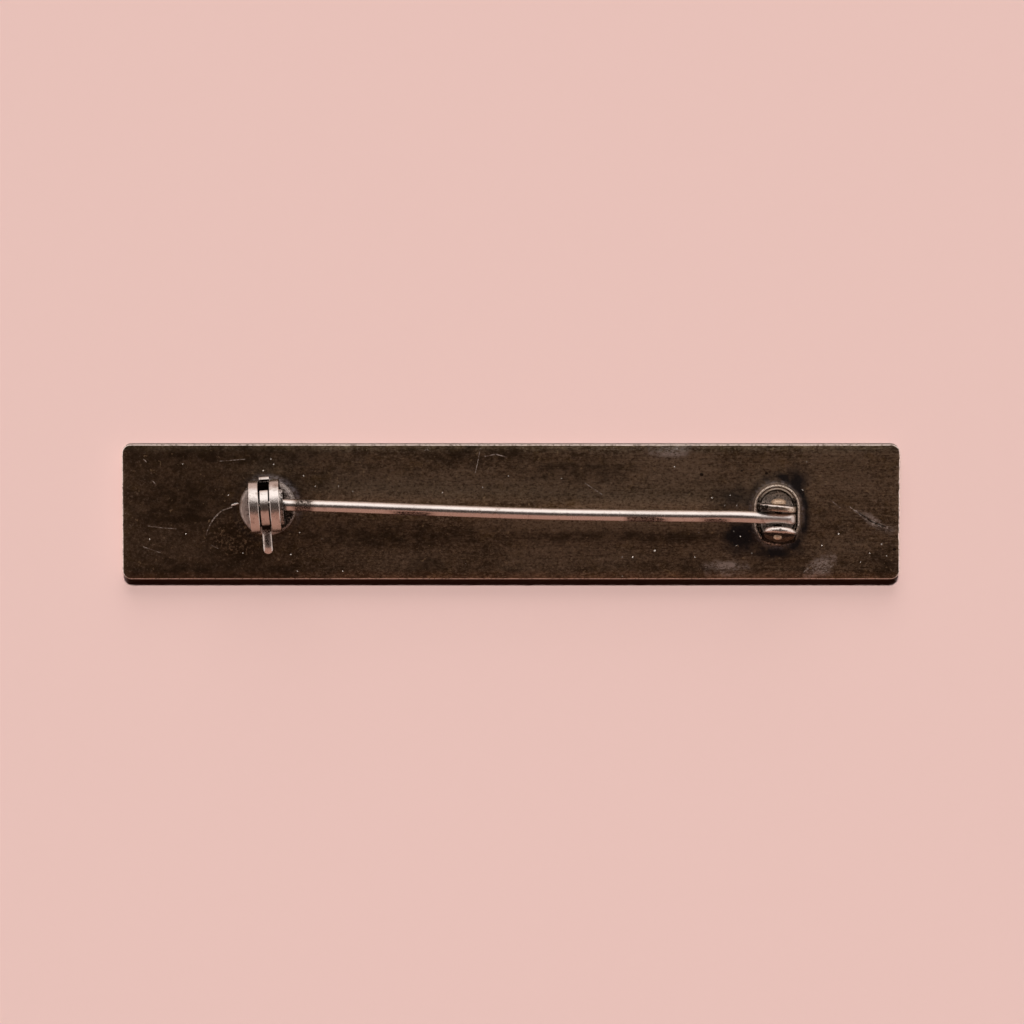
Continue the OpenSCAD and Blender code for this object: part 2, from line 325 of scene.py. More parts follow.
class Finish:
    """Node tree of one metal finish, with the nodes that several finishes need"""

    def __init__(self, name):
        self.material = bpy.data.materials.new(name)
        self.material.use_nodes = True
        self.tree = self.material.node_tree
        self.shader = self.tree.nodes["Principled BSDF"]
        self.shader.inputs["Metallic"].default_value = 1
        self.place = self.tree.nodes.new("ShaderNodeTexCoord").outputs["Object"]

    def join(self, source, target):
        """Links a socket, or sets the target to a value"""
        if isinstance(source, bpy.types.NodeSocket):
            self.tree.links.new(source, target)
        else:
            target.default_value = source

    def stretched(self, scale):
        """Object coordinates in millimetres, stretched by a scale for each axis"""
        mapping = self.tree.nodes.new("ShaderNodeMapping")
        mapping.inputs["Scale"].default_value = [s / MM for s in scale]
        self.join(self.place, mapping.inputs["Vector"])
        return mapping.outputs["Vector"]

    def noise(self, scale, detail=4, roughness=0.6):
        """Noise with about the given number of grains per millimetre along each axis"""
        texture = self.tree.nodes.new("ShaderNodeTexNoise")
        texture.inputs["Scale"].default_value = 1
        texture.inputs["Detail"].default_value = detail
        texture.inputs["Roughness"].default_value = roughness
        self.join(self.stretched(scale), texture.inputs["Vector"])
        return texture.outputs["Fac"]

    def span(self, value, low, high, start=0, end=1):
        """Maps low to high onto start to end, and stops there"""
        node = self.tree.nodes.new("ShaderNodeMapRange")
        self.join(value, node.inputs["Value"])
        node.inputs["From Min"].default_value = low
        node.inputs["From Max"].default_value = high
        node.inputs["To Min"].default_value = start
        node.inputs["To Max"].default_value = end
        return node.outputs["Result"]

    def maths(self, operation, first, second):
        """One arithmetic step"""
        node = self.tree.nodes.new("ShaderNodeMath")
        node.operation = operation
        self.join(first, node.inputs[0])
        self.join(second, node.inputs[1])
        return node.outputs["Value"]

    def times(self, first, second):
        """Product of two values"""
        return self.maths("MULTIPLY", first, second)

    def plus(self, first, second):
        """Sum of two values"""
        return self.maths("ADD", first, second)

    def blend(self, share, first, second):
        """Mixes two colours"""
        node = self.tree.nodes.new("ShaderNodeMix")
        node.data_type = "RGBA"
        self.join(share, node.inputs["Factor"])
        self.join((*first, 1) if isinstance(first, tuple) else first, node.inputs["A"])
        self.join((*second, 1) if isinstance(second, tuple) else second, node.inputs["B"])
        return node.outputs["Result"]

    def axis(self, letter):
        """One object coordinate in millimetres"""
        node = self.tree.nodes.new("ShaderNodeSeparateXYZ")
        self.join(self.stretched((1, 1, 1)), node.inputs["Vector"])
        return node.outputs[letter]

    def mask(self, name):
        """A mask painted on the piece"""
        node = self.tree.nodes.new("ShaderNodeAttribute")
        node.attribute_name = name
        return node.outputs["Fac"]

    def colour(self, source):
        """Gives the metal its colour"""
        self.join(source, self.shader.inputs["Base Color"])

    def roughness(self, source):
        """Gives the metal its roughness"""
        self.join(source, self.shader.inputs["Roughness"])

    def relief(self, height, depth):
        """Relief on the surface, its depth in millimetres"""
        node = self.tree.nodes.new("ShaderNodeBump")
        node.inputs["Distance"].default_value = depth * MM
        self.join(height, node.inputs["Height"])
        self.join(node.outputs["Normal"], self.shader.inputs["Normal"])


plate_finish = Finish("tarnished_plate")
mottle = plate_finish.noise((0.8, 1.2, 0.8), detail=8, roughness=0.72)
grain = plate_finish.noise((4.5, 4.5, 4.5), detail=4, roughness=0.75)
fleck = plate_finish.noise((2.6, 2.6, 2.6), detail=3, roughness=0.6)
brushed = plate_finish.noise((0.25, 7, 0.3), detail=5, roughness=0.8)
drift = plate_finish.noise((0.16, 0.4, 0.2), detail=4, roughness=0.6)
olive = plate_finish.noise((0.7, 0.9, 0.7), detail=5, roughness=0.7)
pepper = plate_finish.noise((4, 9, 4), detail=4, roughness=0.8)
along = plate_finish.axis("X")
across = plate_finish.axis("Y")
height = plate_finish.axis("Z")
span = plate_finish.span
times = plate_finish.times
mask = plate_finish.mask
clouds = plate_finish.plus(mask("cloud"), span(drift, 0.4, 0.6, -0.4, 0.5))
brush_share = span(along, -20, 5, 0.15, 1)
pepper_share = span(along, -22, -12, 0.25, 1)
rim_share = span(height, plate_t - 0.003, plate_t - 0.012)
side_share = span(height, plate_t - 0.075, plate_t - 0.1)
# The sides are brown, greyer along the upper one as painted light, and polished at the left end, with
# dark mottling
side_colour = plate_finish.blend(span(across, 4, 5), (0.12, 0.06, 0.04), (0.22, 0.17, 0.14))
side_colour = plate_finish.blend(span(along, -29.5, -29.9), side_colour, (0.75, 0.68, 0.64))
side_colour = plate_finish.blend(span(grain, 0.42, 0.62, 0.35, 0), side_colour, (0.05, 0.032, 0.022))
# The back's tarnish is built up in films, each laid over the ones before by its share
plate_colour = plate_finish.blend(
    span(mottle, 0.42, 0.58), (0.09, 0.06, 0.035), (0.27, 0.19, 0.118)
)
plate_films = [
    # Olive film, pale clouds, and brush lines that fade out to the left
    (span(olive, 0.52, 0.66, 0, 0.5), (0.25, 0.165, 0.06)),
    (span(clouds, 0.1, 1, 0, 0.65), (0.37, 0.28, 0.195)),
    (times(span(brushed, 0.5, 0.64, 0, 0.6), brush_share), (0.42, 0.32, 0.22)),
    (times(span(brushed, 0.46, 0.36, 0, 0.55), brush_share), (0.1, 0.07, 0.042)),
    # Darker towards the left end and the lower edge
    (span(along, -30, 2, 0.48, 0), (0.065, 0.042, 0.026)),
    (span(across, 0.5, -4.5, 0, 0.28), (0.06, 0.04, 0.024)),
    # Pale and dark pepper, and a finer grain
    (times(span(pepper, 0.53, 0.66, 0, 0.75), pepper_share), (0.52, 0.4, 0.28)),
    (times(span(pepper, 0.47, 0.34, 0, 0.8), pepper_share), (0.05, 0.034, 0.02)),
    (span(grain, 0.48, 0.38, 0, 0.6), (0.05, 0.032, 0.018)),
    (span(grain, 0.55, 0.68, 0, 0.6), (0.42, 0.33, 0.25)),
    # Stains with the stem's and catch's painted shadows, the pitted scar, grey scuffs, soot with the
    # joint's painted shadow, halos and golden flecks
    (times(mask("stain_and_shadow"), span(mottle, 0.58, 0.42, 0.25, 0.75)), (0.045, 0.03, 0.018)),
    (times(mask("pits"), span(grain, 0.56, 0.46, 0.2, 0.9)), (0.05, 0.032, 0.018)),
    (times(mask("pits"), span(grain, 0.58, 0.64, 0, 0.8)), (0.46, 0.33, 0.2)),
    (times(mask("scuff"), span(plate_finish.plus(pepper, mottle), 0.93, 1.06, 0.12, 1)),
     (0.72, 0.65, 0.6)),
    (span(mask("soot_and_shadow"), 0.15, 0.8, 0, 0.93), (0.03, 0.031, 0.036)),
    (times(mask("halo"), span(grain, 0.45, 0.55, 0.25, 1)), (0.52, 0.5, 0.55)),
    (span(fleck, 0.66, 0.72, 0, 0.6), (0.58, 0.44, 0.27)),
    # The rim is rubbed bright, and below it are the sides
    (times(rim_share, span(grain, 0.38, 0.5, 0.2, 1)), (0.95, 0.85, 0.78)),
    (side_share, side_colour),
]
for share, film in plate_films:
    plate_colour = plate_finish.blend(share, plate_colour, film)
plate_finish.colour(plate_colour)
plate_finish.roughness(span(mottle, 0.3, 0.7, 0.5, 0.38))
plate_finish.relief(plate_finish.plus(grain, times(brushed, 0.8)), 0.012)
add_piece(plate_shape, "plate_worn", "brooch", plate_finish.material, "plate")

# Marks on the plate's back: burrs along its scratches and round the leaf-shaped scar below the
# catch, a sliver of solder left beside the base, black pits, and pale dust in the tarnish.
mark_h = 0.02
dust_h = 0.03
pit_h = 0.008
# Strokes on the back: their points and their width
scratches = [
    ([(-21.53, 0.39), (-22.30, 0.12), (-22.84, -0.39), (-23.20, -0.92)], 0.13),
    ([(-23.20, -0.92), (-23.40, -1.35), (-23.53, -1.77)], 0.1),
    ([(-23.15, -2.55), (-22.61, -2.85)], 0.05),
    ([(-28.01, -1.08), (-26.93, -1.23), (-25.85, -1.31)], 0.07),
    ([(-28.40, -2.70), (-27.08, -3.16)], 0.07),
    ([(-28.32, 4.09), (-28.09, 3.86)], 0.08),
    ([(-27.70, 2.47), (-27.47, 2.24)], 0.08),
    ([(-22.45, 3.94), (-20.52, 4.09)], 0.06),
    ([(-6.64, 4.78), (-6.51, 4.90), (-6.37, 4.78)], 0.08),
    ([(-2.35, 4.94), (-2.47, 4.40), (-2.58, 3.78), (-2.76, 3.05)], 0.06),
    ([(-2.01, 4.32), (-1.16, 4.48), (-0.31, 4.24)], 0.09),
    ([(24.61, 0.96), (25.39, 0.34)], 0.08),
    ([(26.08, 0.46), (26.93, -0.23), (27.55, -0.77), (28.09, -1.12), (29.32, -1.12)], 0.08),
    ([(26.6, 0.1), (27.6, -0.6), (28.5, -1.2)], 0.15),
    ([(26.9, -0.1), (28.2, -0.9), (29.1, -1.25)], 0.15),
    ([(27.4, -0.6), (28.9, -1.14)], 0.1), ([(27.3, -0.3), (28.6, -0.95)], 0.08),
    ([(22.6, -4.7), (23.4, -3.9)], 0.1), ([(23.2, -4.9), (24.3, -3.8)], 0.08),
    ([(24.0, -4.8), (24.9, -4.1)], 0.07), ([(11.8, 4.9), (13.4, 4.7)], 0.05),
    ([(5.71, 2.24), (6.40, 1.77), (7.10, 1.31)], 0.06),
]
burrs = bmesh.new()
for places, width in scratches:
    for (x, y), (next_x, next_y) in zip(places, places[1:]):
        run = hypot(next_x - x, next_y - y)
        matrix = Matrix.Translation(((x + next_x) / 2, (y + next_y) / 2, plate_t))
        matrix = matrix @ Matrix.Rotation(atan2(next_y - y, next_x - x), 4, "Z")
        matrix = matrix @ Matrix.Diagonal((run + width * 0.5, width * 0.75, mark_h, 1))
        bmesh.ops.create_cube(burrs, size=1, matrix=matrix)
burr_finish = Finish("bared_silver")
burr_grain = burr_finish.noise((4, 4, 4), detail=3)
burr_finish.colour(burr_finish.blend(
    burr_finish.span(burr_grain, 0.44, 0.6), (0.16, 0.11, 0.08), (0.58, 0.49, 0.43)
))
burr_finish.shader.inputs["Metallic"].default_value = 0.85
burr_finish.roughness(0.55)
add_piece(burrs, "plate_scratches", "brooch", burr_finish.material)

sliver = bmesh.new()
matrix = Matrix.Translation((-21.3, 0.6, plate_t)) @ Matrix.Rotation(radians(14), 4, "Z")
bmesh.ops.create_icosphere(
    sliver, subdivisions=3, radius=1, matrix=matrix @ Matrix.Diagonal((0.32, 0.085, 0.11, 1))
)
sliver_finish = Finish("bright_solder")
sliver_finish.colour(
    sliver_finish.blend(sliver_finish.noise((5, 5, 5)), (0.9, 0.84, 0.8), (1, 0.97, 0.94))
)
sliver_finish.roughness(0.65)
add_piece(sliver, "solder_sliver", "brooch", sliver_finish.material)

pits = bmesh.new()
for x, y, reach in [(14.7, 2.9, 0.16), (17.8, 3.2, 0.1), (19.7, 3, 0.12), (29.6, -2.9, 0.14)]:
    matrix = Matrix.Translation((x, y, plate_t)) @ Matrix.Diagonal((reach, reach * 0.8, pit_h, 1))
    bmesh.ops.create_icosphere(pits, subdivisions=2, radius=1, matrix=matrix)
pit_finish = Finish("black_pits")
pit_finish.colour(
    pit_finish.blend(pit_finish.noise((8, 8, 8)), (0.02, 0.014, 0.01), (0.05, 0.03, 0.02))
)
pit_finish.roughness(0.7)
add_piece(pits, "plate_pits", "brooch", pit_finish.material)

# Places and reach of the dust specks
dust_specks = [
    (-19.1, 3.2, 0.09), (-18.3, 3.7, 0.06), (-18.5, 4.1, 0.06), (-16.0, 2.8, 0.07),
    (-15.1, 2.0, 0.07), (-13.3, 2.0, 0.07), (-12.2, 1.6, 0.06), (-17.0, -3.3, 0.08),
    (-13.0, -4.6, 0.07), (-16.5, -4.6, 0.07), (-16.3, -1.6, 0.06), (-14.6, -2.1, 0.06),
    (-25.3, 3.7, 0.07), (-27.9, -2.1, 0.08), (-25.1, -1.7, 0.07), (-21.8, 1.3, 0.06),
    (-20.7, -3.2, 0.07), (-0.2, 2.8, 0.07), (3.9, 2.6, 0.07), (-2.2, 1.9, 0.06),
    (-5.3, 1.5, 0.06), (9.4, -3.5, 0.09), (8.6, -3.5, 0.06), (8.6, -5.0, 0.06),
    (-3.5, -4.0, 0.06), (12.8, 4.9, 0.07), (12.6, 3.5, 0.06), (15.5, 1.1, 0.07),
    (16.9, 1.3, 0.06), (16.5, 0.5, 0.06), (17.4, 0.5, 0.06), (22.5, 1.7, 0.08), (22.8, 3.9, 0.06),
    (25.3, -1.7, 0.08), (24.0, -2.6, 0.08), (27.7, -3.2, 0.08), (27.0, -3.9, 0.07),
    (29.0, -3.4, 0.07), (28.6, -2.5, 0.07), (17.7, -1.9, 0.07), (17.2, -1.5, 0.06),
    (14.5, -1.6, 0.06), (17.4, -2.6, 0.07), (18.6, -3.2, 0.07), (14.2, -3.5, 0.06),
    (11.1, -3.0, 0.10),
]
dust = bmesh.new()
for index, (x, y, reach) in enumerate(dust_specks):
    matrix = Matrix.Translation((x, y, plate_t)) @ Matrix.Rotation(index * 0.9, 4, "Z")
    matrix = matrix @ Matrix.Diagonal((reach * 0.8, reach * (0.6 + 0.2 * sin(index)), dust_h, 1))
    bmesh.ops.create_icosphere(dust, subdivisions=1, radius=1, matrix=matrix)
dust_finish = Finish("pale_dust")
dust_grain = dust_finish.noise((6, 6, 6), detail=2)
dust_finish.colour(dust_finish.blend(dust_grain, (0.45, 0.36, 0.3), (0.75, 0.66, 0.6)))
dust_finish.shader.inputs["Metallic"].default_value = 0
dust_finish.roughness(0.8)
add_piece(dust, "plate_dust", "brooch", dust_finish.material)

# Catch: a round base soldered to the back carries a short barrel. The barrel is rolled from strip
# silver, slotted between its two bands for the lever, and ends in a lip that stops the lever.
pin_h = 2.25
catch_x = -18.88
catch_y = 0.68
catch_turn = 3.9
catch_base_r = 2.15
catch_base_t = 0.45
barrel_r = 2.024
barrel_bore_r = 1.685
barrel_l = 2.36
lever_slot = 0.86
base_shift_x = 0.1
base_shift_y = -0.3
silver = (0.86, 0.8, 0.76)


def side_of(value):
    """1 above zero, -1 below it and 0 at it"""
    return 1 if value > 1e-6 else -1 if value < -1e-6 else 0


def turned_dish(shape, profile, stretch):
    """Solid of level ovals, each a circle of some reach drawn apart along Y, at some height"""
    bmesh.ops.create_circle(shape, cap_ends=True, segments=64, radius=profile[0][0])
    for vertex in shape.verts:
        vertex.co += Vector((0, side_of(vertex.co.y) * stretch, profile[0][1]))
    top = shape.faces[:]
    for step, (reach, height) in enumerate(profile[1:]):
        raised = bmesh.ops.extrude_face_region(shape, geom=top)["geom"]
        if step:
            bmesh.ops.delete(shape, geom=top, context="FACES_ONLY")
        top = [g for g in raised if isinstance(g, bmesh.types.BMFace)]
        for vertex in top[0].verts:
            middle = Vector((0, side_of(vertex.co.y) * stretch, 0))
            outward = ((vertex.co - middle) * Vector((1, 1, 0))).normalized()
            vertex.co = middle + outward * reach + Vector((0, 0, height))
    bmesh.ops.recalc_face_normals(shape, faces=shape.faces)


def move_drawn(shape, drawn, move):
    """Moves the vertices that an extrude has drawn out"""
    new_verts = [g for g in drawn["geom"] if isinstance(g, bmesh.types.BMVert)]
    bmesh.ops.translate(shape, verts=new_verts, vec=move)


def ring_section(shape, places, inner_r, outer_r, angle):
    """Faces side by side between the places along the barrel, at one angle from straight up"""
    up = Vector((0, sin(radians(angle)), cos(radians(angle))))
    inner = [shape.verts.new(up * inner_r + Vector((x, 0, 0))) for x in places]
    outer = [shape.verts.new(up * outer_r + Vector((x, 0, 0))) for x in places]
    return [
        shape.faces.new((inner[i], inner[i + 1], outer[i + 1], outer[i]))
        for i in range(len(places) - 1)
    ]


def roll_strip(shape, section, angle, steps):
    """Rolls a section round the barrel's axis and gives back the faces at its end"""
    rolled = bmesh.ops.spin(
        shape, geom=section, cent=(0, 0, 0), axis=(1, 0, 0), angle=-radians(angle), steps=steps,
    )
    return [g for g in rolled["geom_last"] if isinstance(g, bmesh.types.BMFace)]


def soften(shape, radius, segments=3, angle=38):
    """Rounds every sharp edge of a closed shape"""
    bmesh.ops.remove_doubles(shape, verts=shape.verts, dist=0.0005)
    bmesh.ops.recalc_face_normals(shape, faces=shape.faces)
    sharp = [e for e in shape.edges if e.is_manifold and e.calc_face_angle() > radians(angle)]
    round_edges(shape, sharp, radius, segments)


def merge_into(target, part, matrix=None):
    """Adds one shape to another, as solder joins them"""
    if matrix:
        bmesh.ops.transform(part, matrix=matrix, verts=part.verts)
    carrier = bpy.data.meshes.new("carrier")
    part.to_mesh(carrier)
    part.free()
    target.from_mesh(carrier)
    bpy.data.meshes.remove(carrier)


at_catch = Matrix.Translation((catch_x, catch_y, plate_t)) @ Matrix.Rotation(
    radians(catch_turn), 4, "Z"
)
at_barrel = at_catch @ Matrix.Translation((0, 0, pin_h))

housing = bmesh.new()
turned_dish(
    housing,
    [(2.2, 0), (2.18, 0.05), (catch_base_r, 0.12), (catch_base_r, 0.28), (2.11, 0.36), (2.03, 0.41),
     (1.92, catch_base_t), (1.5, catch_base_t), (1, catch_base_t), (0.5, catch_base_t)],
    0,
)
bmesh.ops.translate(housing, verts=housing.verts, vec=(base_shift_x, base_shift_y, 0))
bmesh.ops.transform(housing, matrix=at_catch, verts=housing.verts)

# From its gate, low on the -Y side, the barrel's wall runs underneath to the end of the lever's
# slot, and goes on over the top as two bands. The turns are in degrees round its axis.
gate_angle = 232
wall_turn = -116
band_turn = -204
barrel = bmesh.new()
band_places = [-barrel_l / 2, -lever_slot / 2, lever_slot / 2, barrel_l / 2]
section = ring_section(barrel, band_places, barrel_bore_r, barrel_r, gate_angle)
slot_end = roll_strip(barrel, section, wall_turn, 24)
bands = [f for f in slot_end if abs(f.calc_center_median().x) > lever_slot / 2]
roll_strip(barrel, bands, band_turn, 44)
bmesh.ops.delete(barrel, geom=bands, context="FACES_ONLY")
soften(barrel, 0.075)
merge_into(housing, barrel, at_barrel)

# A saddle of solder under the barrel, and the lip that stops the lever
foot = bmesh.new()
foot_points = [(-0.55, -1.92), (1.65, -1.92), (1.65, -1.2), (1.48, -1.12), (1.3, -1.32),
               (0.9, -1.62), (0.4, -1.81), (0, -1.855), (-0.55, -1.77)]
foot_face = foot.faces.new([foot.verts.new((-barrel_l / 2, y, z)) for y, z in foot_points])
move_drawn(foot, bmesh.ops.extrude_face_region(foot, geom=[foot_face]), (barrel_l, 0, 0))
foot_top = [v for v in foot.verts if v.co.z > -1.9]
bmesh.ops.scale(foot, verts=foot_top, vec=(0.98, 1, 1))
soften(foot, 0.06)
merge_into(housing, foot, at_barrel)

lip_start = -0.36
lip_l = 0.79
lip = bmesh.new()
lip_points = [(1.85, -0.75), (1.96, -0.55), (1.98, -0.3), (2.02, -0.25), (2.21, -0.37),
              (2.245, -0.5), (2.22, -0.8), (1.8, -1.15)]
lip_face = lip.faces.new([lip.verts.new((lip_start, y, z)) for y, z in lip_points])
move_drawn(lip, bmesh.ops.extrude_face_region(lip, geom=[lip_face]), (lip_l, 0, 0))
soften(lip, 0.04, 2, 60)
merge_into(housing, lip, at_barrel)

catch_finish = Finish("worn_catch_silver")
# Near-black for grime, and for painted shade where the black masks put it
black_grime_and_shade = (0.02, 0.014, 0.01)


def dress_silver(finish, clean, dull, dull_share, roughness, depth=0.004, grains=9,
                 brown=(0.24, 0.155, 0.11)):
    """Silver that is bright where it is rubbed, with a dull film, and black where its mask paints
    grime in corners or painted shade
    """
    film = finish.noise((1.6, 1.6, 1.6), detail=6, roughness=0.65)
    speckle = finish.noise((grains,) * 3, detail=3, roughness=0.7)
    share = finish.span(film, 0.62 - dull_share * 0.3, 0.72)
    share = finish.times(share, finish.span(speckle, 0.35, 0.6, 0.45, 1))
    colour = finish.blend(share, clean, dull)
    browned = finish.times(finish.mask("browned"), finish.span(speckle, 0.3, 0.6, 1, 0.6))
    colour = finish.blend(browned, colour, brown)
    black = finish.plus(finish.mask("black"), finish.span(speckle, 0.35, 0.65, 0.25, -0.25))
    black = finish.span(black, 0.35, 0.75)
    finish.colour(finish.blend(black, colour, black_grime_and_shade))
    rough_and_black = finish.plus(finish.mask("rough"), black)
    rubbed = finish.span(finish.plus(film, speckle), 0.6, 1.4, roughness, roughness + 0.16)
    finish.roughness(finish.plus(rubbed, finish.times(rough_and_black, 0.33)))
    finish.relief(finish.plus(speckle, finish.times(film, 7)), depth)


def in_barrel(place):
    """Place in the barrel's own frame, with its axis along X"""
    return at_barrel.inverted() @ place


def on_base(local):
    """True on the catch's base, from a place in the barrel's frame"""
    return local.z < -1.77


def base_speckles(local):
    """How far out on the base a place is, and its share of the speckled zone near the rim"""
    reach = hypot(local.x - base_shift_x, local.y - base_shift_y)
    speckled = rise(reach, 1.65, 1.85) * rise(local.y, -0.6, 0.2) * rise(local.x, 0, 0.8)
    return reach, speckled


def catch_blackened(place):
    """Black inside the barrel and round the foot, with painted shade under the slot's end and on the
    bands' lower ends
    """
    local = in_barrel(place)
    if on_base(local):
        reach, speckled = base_speckles(local)
        beside = rise(0.35 - abs(abs(local.x) - 1.2), 0, 0.3) * (-0.9 < local.y < 1.9)
        rightward = (0.72 - 0.3 * rise(reach, 1.95, 2.1)) * rise(local.x, 0.3, 1.1)
        dark = max(rightward, 0.7 * rise(local.y, 0.5, 1.5), 0.12, 0.33 * rise(reach, 2.06, 2.14))
        return max(0.75 * beside * (1 - speckled), dark + (0.42 - dark) * speckled)
    far = hypot(local.y, local.z)
    angle = atan2(local.y, local.z) * 180 / pi
    inside = rise(1.83 - far, 0, 0.12)
    # Painted shade: the slot's end is black like a deep hole, and the bands' lower ends are darkened
    slot_end = 95 < angle < 178 and abs(local.x) < 0.46 and far < 2.04
    band_end = 0.38 * rise(-local.y, 1.7, 2)
    return max(inside, slot_end, band_end, rise(-local.z, 1.3, 1.75) * (far < 2.4))


def catch_browned(place):
    """Brown film on the right of the base and on the lip, a painted reflection tint on the bands'
    ends, and painted shade low on the bands
    """
    local = in_barrel(place)
    if on_base(local):
        reach, speckled = base_speckles(local)
        film = max(rise(local.x, 0, 0.9), 0.55 + 0.3 * rise(reach, 1.9, 2.1))
        return film * (1 - 0.6 * speckled)
    if local.y > 1.95 and abs(local.x) < 0.5:
        return 0.35
    # Painted reflection tint on both ends of the bands, and painted shade low on them
    ends = 0.5 * rise(-local.y, 1.3, 2) + 0.3 * rise(local.y, 1.2, 1.9)
    return 0.7 * rise(-local.z, 0.5, 1.6) + ends


dress_silver(catch_finish, silver, dull=(0.3, 0.21, 0.16), dull_share=0.35, roughness=0.16)
paint(housing, "black", catch_blackened)
paint(housing, "browned", catch_browned)
paint(housing, "rough", lambda place: on_base(in_barrel(place)))
add_piece(
    housing, "catch_barrel_and_base", "brooch", catch_finish.material,
    "catch_housing",
)

# Roller: a split tube that turns in the barrel by the lever bent out of its wall. Closed, its wall
# shuts the barrel's gate over the pin. It stands a little out of the barrel on the pin's side.
roller_r = 1.64
roller_bore_r = 1.3
roller_proud = 0.26
lever_w = 0.68
leaf_t = 0.32
leaf_top = 0.45
leaf_start = 1.2
leaf_tip_half = 0.05
leaf_crown = 0.1
bend_end = 2.1
bend_r = 1
curl_start = 3.06
curl_r = 1.1
lever_reach = 3.66
groove = 0.09
# The tube's wall runs from its split, low on the +Y side, underneath to the lever's root, and goes
# on over the top as three strips with a groove on either side of the middle one.
split_angle = 140
root_turn = 118
strip_turn = 157
roller = bmesh.new()
roller_places = [-barrel_l / 2, -lever_w / 2 - groove, -lever_w / 2, lever_w / 2,
                 lever_w / 2 + groove, barrel_l / 2 + roller_proud]
section = ring_section(roller, roller_places, roller_bore_r, roller_r, split_angle)
lever_root = roll_strip(roller, section, root_turn, 28)
strips = [
    f for f in lever_root
    if abs(f.calc_center_median().x) < 0.1 or abs(f.calc_center_median().x) > lever_w / 2 + groove
]
roll_strip(roller, strips, strip_turn, 38)
bmesh.ops.delete(roller, geom=strips, context="FACES_ONLY")
soften(roller, 0.05)

lever = bmesh.new()
bmesh.ops.create_grid(lever, x_segments=12, y_segments=48, size=0.5)
for vertex in lever.verts:
    share = 0.5 - vertex.co.y
    far = leaf_start + share * (lever_reach - leaf_start)
    from_tip = lever_reach - far
    half = lever_w / 2
    if from_tip < half:
        half = sqrt(max(leaf_tip_half ** 2, half ** 2 - (half - from_tip) ** 2))
    top = leaf_top
    if far < bend_end:
        top = leaf_top + bend_r - sqrt(max(0, bend_r ** 2 - (bend_end - far) ** 2))
    elif far > curl_start:
        top = leaf_top - curl_r + sqrt(curl_r ** 2 - (far - curl_start) ** 2)
    crown = leaf_crown * (2 * vertex.co.x) ** 2
    vertex.co = Vector((2 * vertex.co.x * half, -far, top - crown * min(1, from_tip / 0.3)))
bmesh.ops.recalc_face_normals(lever, faces=lever.faces)
if lever.faces[:][0].normal.z < 0:
    bmesh.ops.reverse_faces(lever, faces=lever.faces)
bmesh.ops.solidify(lever, geom=lever.faces[:], thickness=leaf_t)
soften(lever, 0.1, 3, 50)
merge_into(roller, lever)
bmesh.ops.transform(roller, matrix=at_barrel, verts=roller.verts)
roller_finish = Finish("worn_roller_silver")
dress_silver(roller_finish, silver, dull=(0.28, 0.2, 0.15), dull_share=0.4, roughness=0.14)


def roller_blackened(place):
    """Black inside the roller, in its grooves and round its end, with painted shade down the lever's
    middle, near its root and on the roller's low side
    """
    local = in_barrel(place)
    if local.y < -1.75:
        # Painted shade down the lever's middle and towards its root, leaving its edges light as
        # painted highlights
        centre = 0.62 - 0.45 * rise(abs(local.x), 0.1, 0.27)
        return max(centre, 0.7 - rise(-local.y, 1.9, 2.4)) * (1 - rise(-local.y, 2.92, 3.1))
    far = hypot(local.y, local.z)
    inside = rise(1.55 - far, 0, 0.12) * (local.y > -1.1)
    grooves = (abs(abs(local.x) - 0.385) < 0.055) * (far < 1.62)
    end = 0.63 * rise(local.x, 1.19, 1.23)
    # The last term is painted shade on the roller's low side
    return max(inside, grooves, end, rise(-local.y, 1.2, 1.5) * (far < 2.1))


def roller_browned(place):
    """Brown towards the lever's root and on the end that stands out of the barrel"""
    local = in_barrel(place)
    root = 0.4 * rise(-local.y, 0.9, 1.5) * (1 - rise(-local.y, 2.8, 3))
    return max(root, 0.5 * (local.x > 1.2))


paint(roller, "black", roller_blackened)
paint(roller, "browned", roller_browned)
paint(roller, "rough", lambda place: 0.12 * (in_barrel(place).y < -1.9))
add_piece(
    roller, "roller_and_lever", "lock", roller_finish.material, "catch_roller"
)

# Joint: a stamped oval dish with a raised rim, soldered to the back, with two ears that were bent
# up from it. Grime has browned it. The upper ear stands nearly square and the lower one leans in.
rivet_x = 20.53
rivet_y = -0.27
stem_turn = -1.381
dish_stretch = 0.6
dish_rim_h = 0.62
# The dish's zones, by how far out they start: the floor's shaded edge, the ridge and the outer ring
edge_from = 1.25
ridge_from = 1.34
ring_from = 1.57
upper_ear_w = 3
lower_ear_w = 2.6
ear_top = 1
ear_foot_l = 2.1
ear_cell = 0.15
joint = bmesh.new()
turned_dish(
    joint,
    [(1.88, 0), (1.86, 0.06), (1.82, 0.18), (1.8, 0.3), (1.79, 0.44), (1.75, 0.53), (1.69, 0.58),
     (1.63, 0.6), (1.58, 0.575), (1.56, 0.5), (1.54, 0.455), (1.47, 0.485), (1.4, 0.515),
     (1.36, 0.5), (1.32, 0.44), (1.27, 0.36), (1.2, 0.31), (1, 0.3), (0.7, 0.3), (0.35, 0.3)],
    dish_stretch,
)
at_joint_base = Matrix.Translation((rivet_x - 0.03, rivet_y + 0.09, plate_t))
bmesh.ops.transform(joint, matrix=at_joint_base, verts=joint.verts)
at_rivet = Matrix.Translation((rivet_x, rivet_y, plate_t + pin_h)) @ Matrix.Rotation(
    radians(stem_turn), 4, "Z"
)


